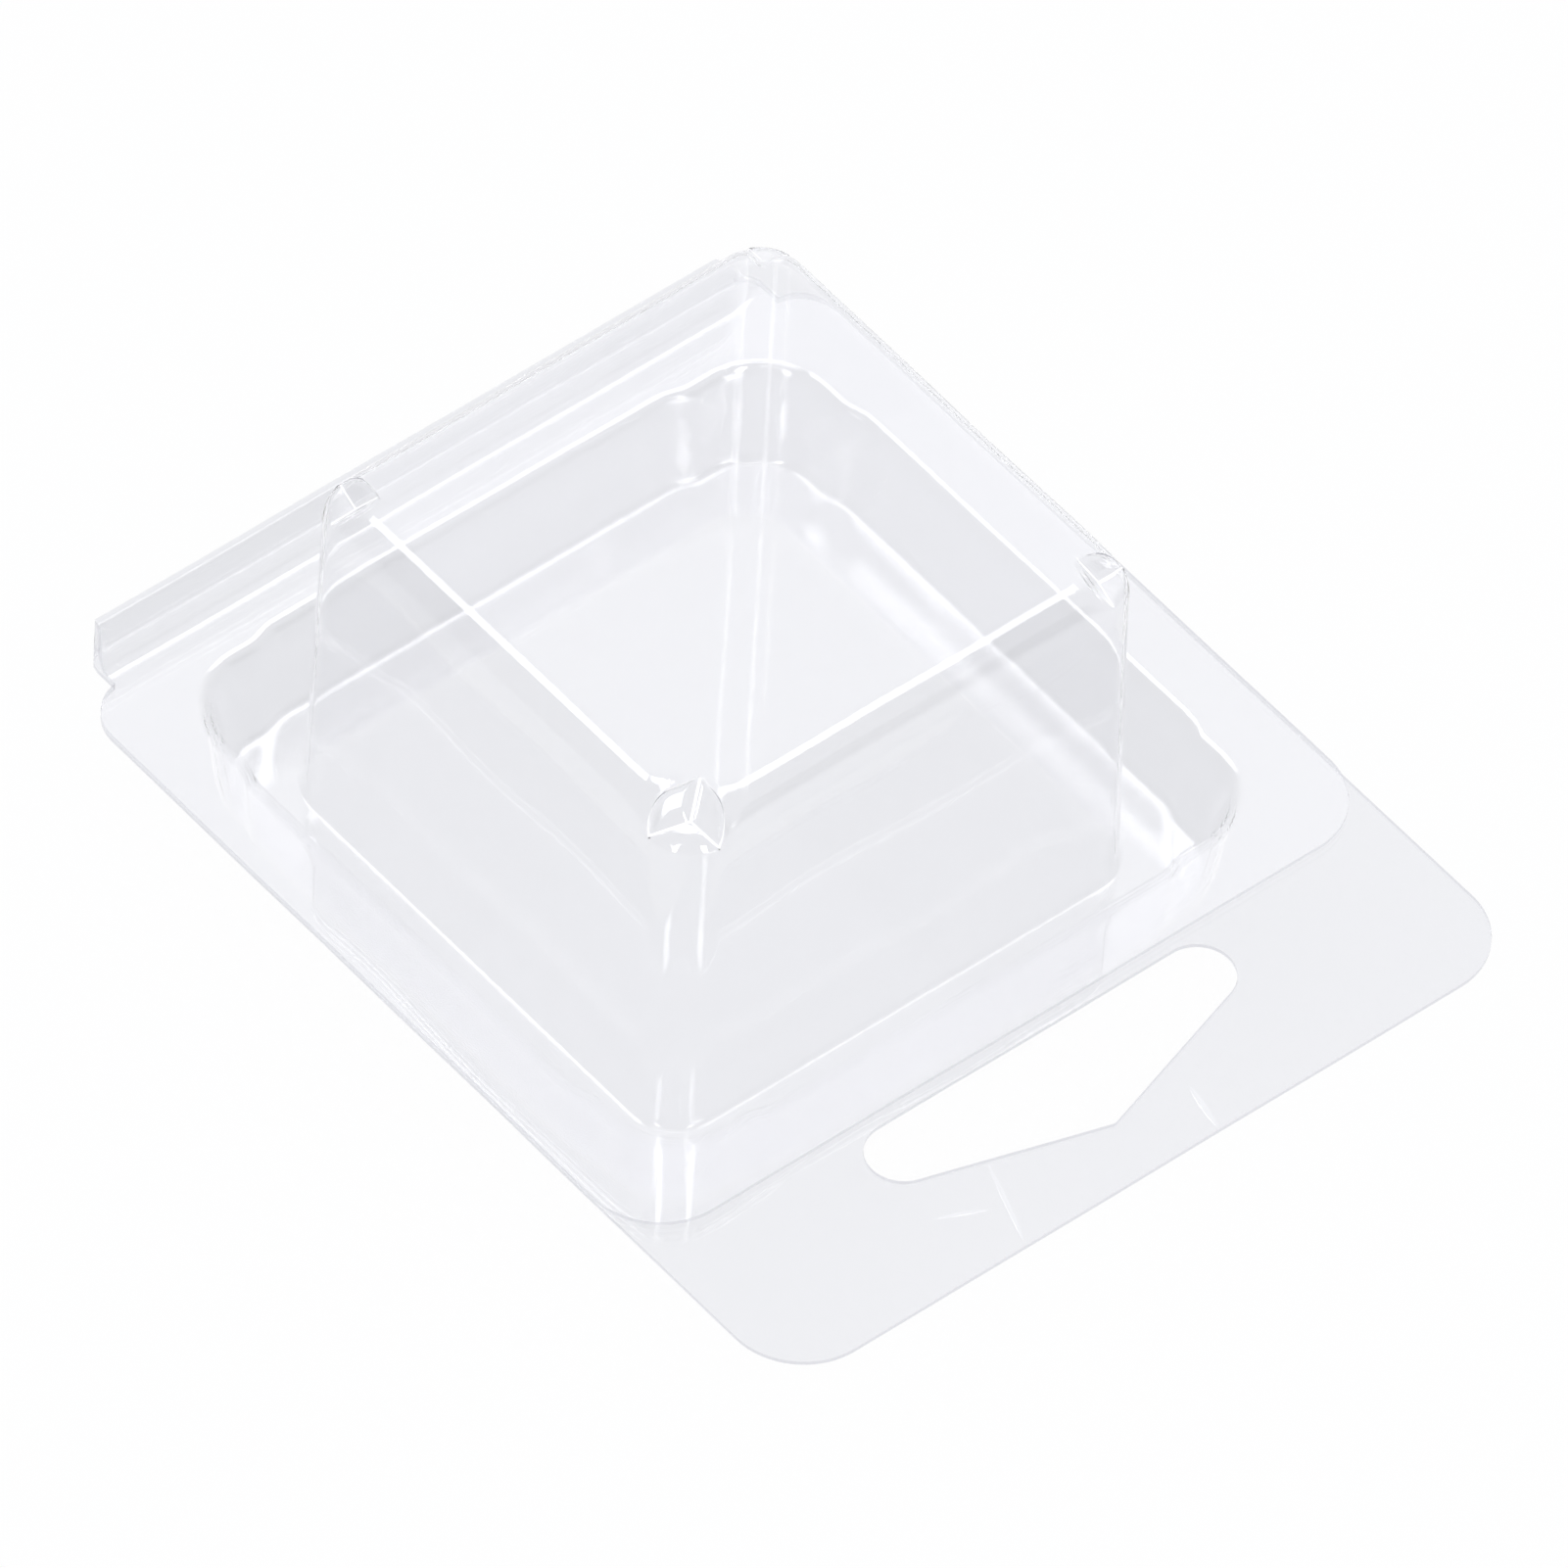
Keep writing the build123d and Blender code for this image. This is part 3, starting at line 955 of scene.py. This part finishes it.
def add_floor(scene, look):
    """Floor that shows white by itself and in reflections, and a pale grey through the sheet."""
    far, low = 4.0, -0.00005
    corners = ((-far, -far, low), (far, -far, low), (far, far, low), (-far, far, low))
    floor = stage_card(scene, "floor", corners)
    material, nodes, links = bare_material("Floor")
    paper = nodes.new("ShaderNodeBsdfDiffuse")
    paper.inputs["Color"].default_value = (*look.floor_colour, 1)
    seen = nodes.new("ShaderNodeEmission")
    seen.inputs["Color"].default_value = (*look.floor_seen, 1)
    white = nodes.new("ShaderNodeEmission")
    path = nodes.new("ShaderNodeLightPath")
    mirrored = nodes.new("ShaderNodeMath")
    mirrored.operation = "SUBTRACT"
    mirrored.use_clamp = True
    links.new(path.outputs["Is Glossy Ray"], mirrored.inputs[0])
    links.new(path.outputs["Is Transmission Ray"], mirrored.inputs[1])
    below = paper
    for ray, share, glow in ((path.outputs["Is Transmission Ray"], 0.85, seen),
                             (mirrored.outputs[0], 0.85, white),
                             (path.outputs["Is Camera Ray"], 0.95, white)):
        part = nodes.new("ShaderNodeMath")
        part.operation = "MULTIPLY"
        part.inputs[1].default_value = share
        links.new(ray, part.inputs[0])
        either = nodes.new("ShaderNodeMixShader")
        links.new(part.outputs[0], either.inputs[0])
        links.new(below.outputs[0], either.inputs[1])
        links.new(glow.outputs[0], either.inputs[2])
        below = either
    result = nodes.new("ShaderNodeOutputMaterial")
    links.new(below.outputs[0], result.inputs[0])
    material.cycles.emission_sampling = "NONE"
    floor.data.materials.append(material)


def softbox(scene, name, place, size, glow):
    """Rectangular lamp aimed at the mould. size is its width and height, glow the brightness of its face."""
    lamp = bpy.data.lights.new(name, "AREA")
    lamp.shape = "RECTANGLE"
    lamp.size, lamp.size_y = size
    lamp.energy = glow * math.pi * size[0] * size[1]
    obj = bpy.data.objects.new(name, lamp)
    scene.collection.objects.link(obj)
    obj.location = place
    obj.rotation_mode = "QUATERNION"
    obj.rotation_quaternion = (Vector(place) - Vector(MOULD_MIDDLE)).to_track_quat("Z", "Y")


def add_studio(scene, look):
    """A pale light tent: softboxes above and in front, a dark card, and a bright backdrop."""
    for name, place, size, level in LAMPS:
        softbox(scene, name, place, size, getattr(look, level))
    card = stage_card(scene, "dark_card", DARK_CARD)
    black = bpy.data.materials.new("Dark card")
    black.use_nodes = True
    paint = black.node_tree.nodes["Principled BSDF"]
    paint.inputs["Base Color"].default_value = (0.05, 0.05, 0.05, 1)
    paint.inputs["Specular IOR Level"].default_value = 0.0
    card.data.materials.append(black)
    world = bpy.data.worlds.new("Studio")
    scene.world = world
    world.use_nodes = True
    nodes, links = world.node_tree.nodes, world.node_tree.links
    place = nodes.new("ShaderNodeTexCoord")
    facing = nodes.new("ShaderNodeVectorMath")
    facing.operation = "DOT_PRODUCT"
    facing.inputs[1].default_value = (0.58, 0.65, 0.49)
    links.new(place.outputs["Generated"], facing.inputs[0])
    glow = nodes.new("ShaderNodeMapRange")
    glow.interpolation_type = "SMOOTHSTEP"
    for name, value in (("From Min", 0.55), ("From Max", 0.92),
                        ("To Min", look.fill), ("To Max", look.backdrop)):
        glow.inputs[name].default_value = value
    links.new(facing.outputs["Value"], glow.inputs["Value"])
    back = nodes["Background"]
    back.inputs["Color"].default_value = (1.0, 1.0, 1.02, 1)
    links.new(glow.outputs["Result"], back.inputs["Strength"])


def add_camera(scene):
    """Long lens at the photograph's angle."""
    azimuth, rise, roll = (math.radians(angle) for angle in (-41.888, 48.733, 3.403))
    back = Vector((math.sin(azimuth) * math.cos(rise), -math.cos(azimuth) * math.cos(rise), math.sin(rise)))
    right = Vector((math.cos(azimuth), math.sin(azimuth), 0))
    up = back.cross(right)
    side = math.cos(roll) * right + math.sin(roll) * up
    top = math.cos(roll) * up - math.sin(roll) * right
    aim, distance, to_right, down = Vector((0, 0.0073, 0.008475)), 2.2061, 0.004719, 0.002563
    place = aim + back * distance + right * to_right - up * down
    data = bpy.data.cameras.new("camera")
    data.sensor_width = 36
    data.lens = 765.65
    data.clip_start, data.clip_end = 0.1, 50
    camera = bpy.data.objects.new("camera", data)
    scene.collection.objects.link(camera)
    turn = Matrix((side, top, back)).transposed().to_4x4()
    turn.translation = place
    camera.matrix_world = turn
    scene.camera = camera


class MOULD_PT_panel(bpy.types.Panel):
    """Lists the mould's pieces"""
    bl_label = "Wax melt mould"
    bl_idname = "MOULD_PT_panel"
    bl_space_type = "VIEW_3D"
    bl_region_type = "UI"
    bl_category = "Mould"

    def draw(self, context):
        for operator in OPERATORS:
            self.layout.operator(operator.bl_idname)
        for group in (context.scene.mould_sizes, context.scene.mould_finish, context.scene.mould_stage):
            box = self.layout.box()
            for name in type(group).__annotations__:
                box.prop(group, name)


OPERATORS = (MOULD_OT_cavity_half, MOULD_OT_lid_half, MOULD_OT_fold, MOULD_OT_stage)
CLASSES = (MouldSizes, MouldFinish, StageLook, *OPERATORS, MOULD_PT_panel)


def register():
    for cls in CLASSES:
        bpy.utils.register_class(cls)
    bpy.types.Scene.mould_sizes = bpy.props.PointerProperty(type=MouldSizes)
    bpy.types.Scene.mould_finish = bpy.props.PointerProperty(type=MouldFinish)
    bpy.types.Scene.mould_stage = bpy.props.PointerProperty(type=StageLook)


def unregister():
    del bpy.types.Scene.mould_stage, bpy.types.Scene.mould_finish, bpy.types.Scene.mould_sizes
    for cls in reversed(CLASSES):
        bpy.utils.unregister_class(cls)


def main():
    register()
    bpy.ops.mould.cavity_half()
    bpy.ops.mould.lid_half()
    bpy.ops.mould.fold()
    bpy.ops.mould.stage()


if __name__ == "__main__":
    main()
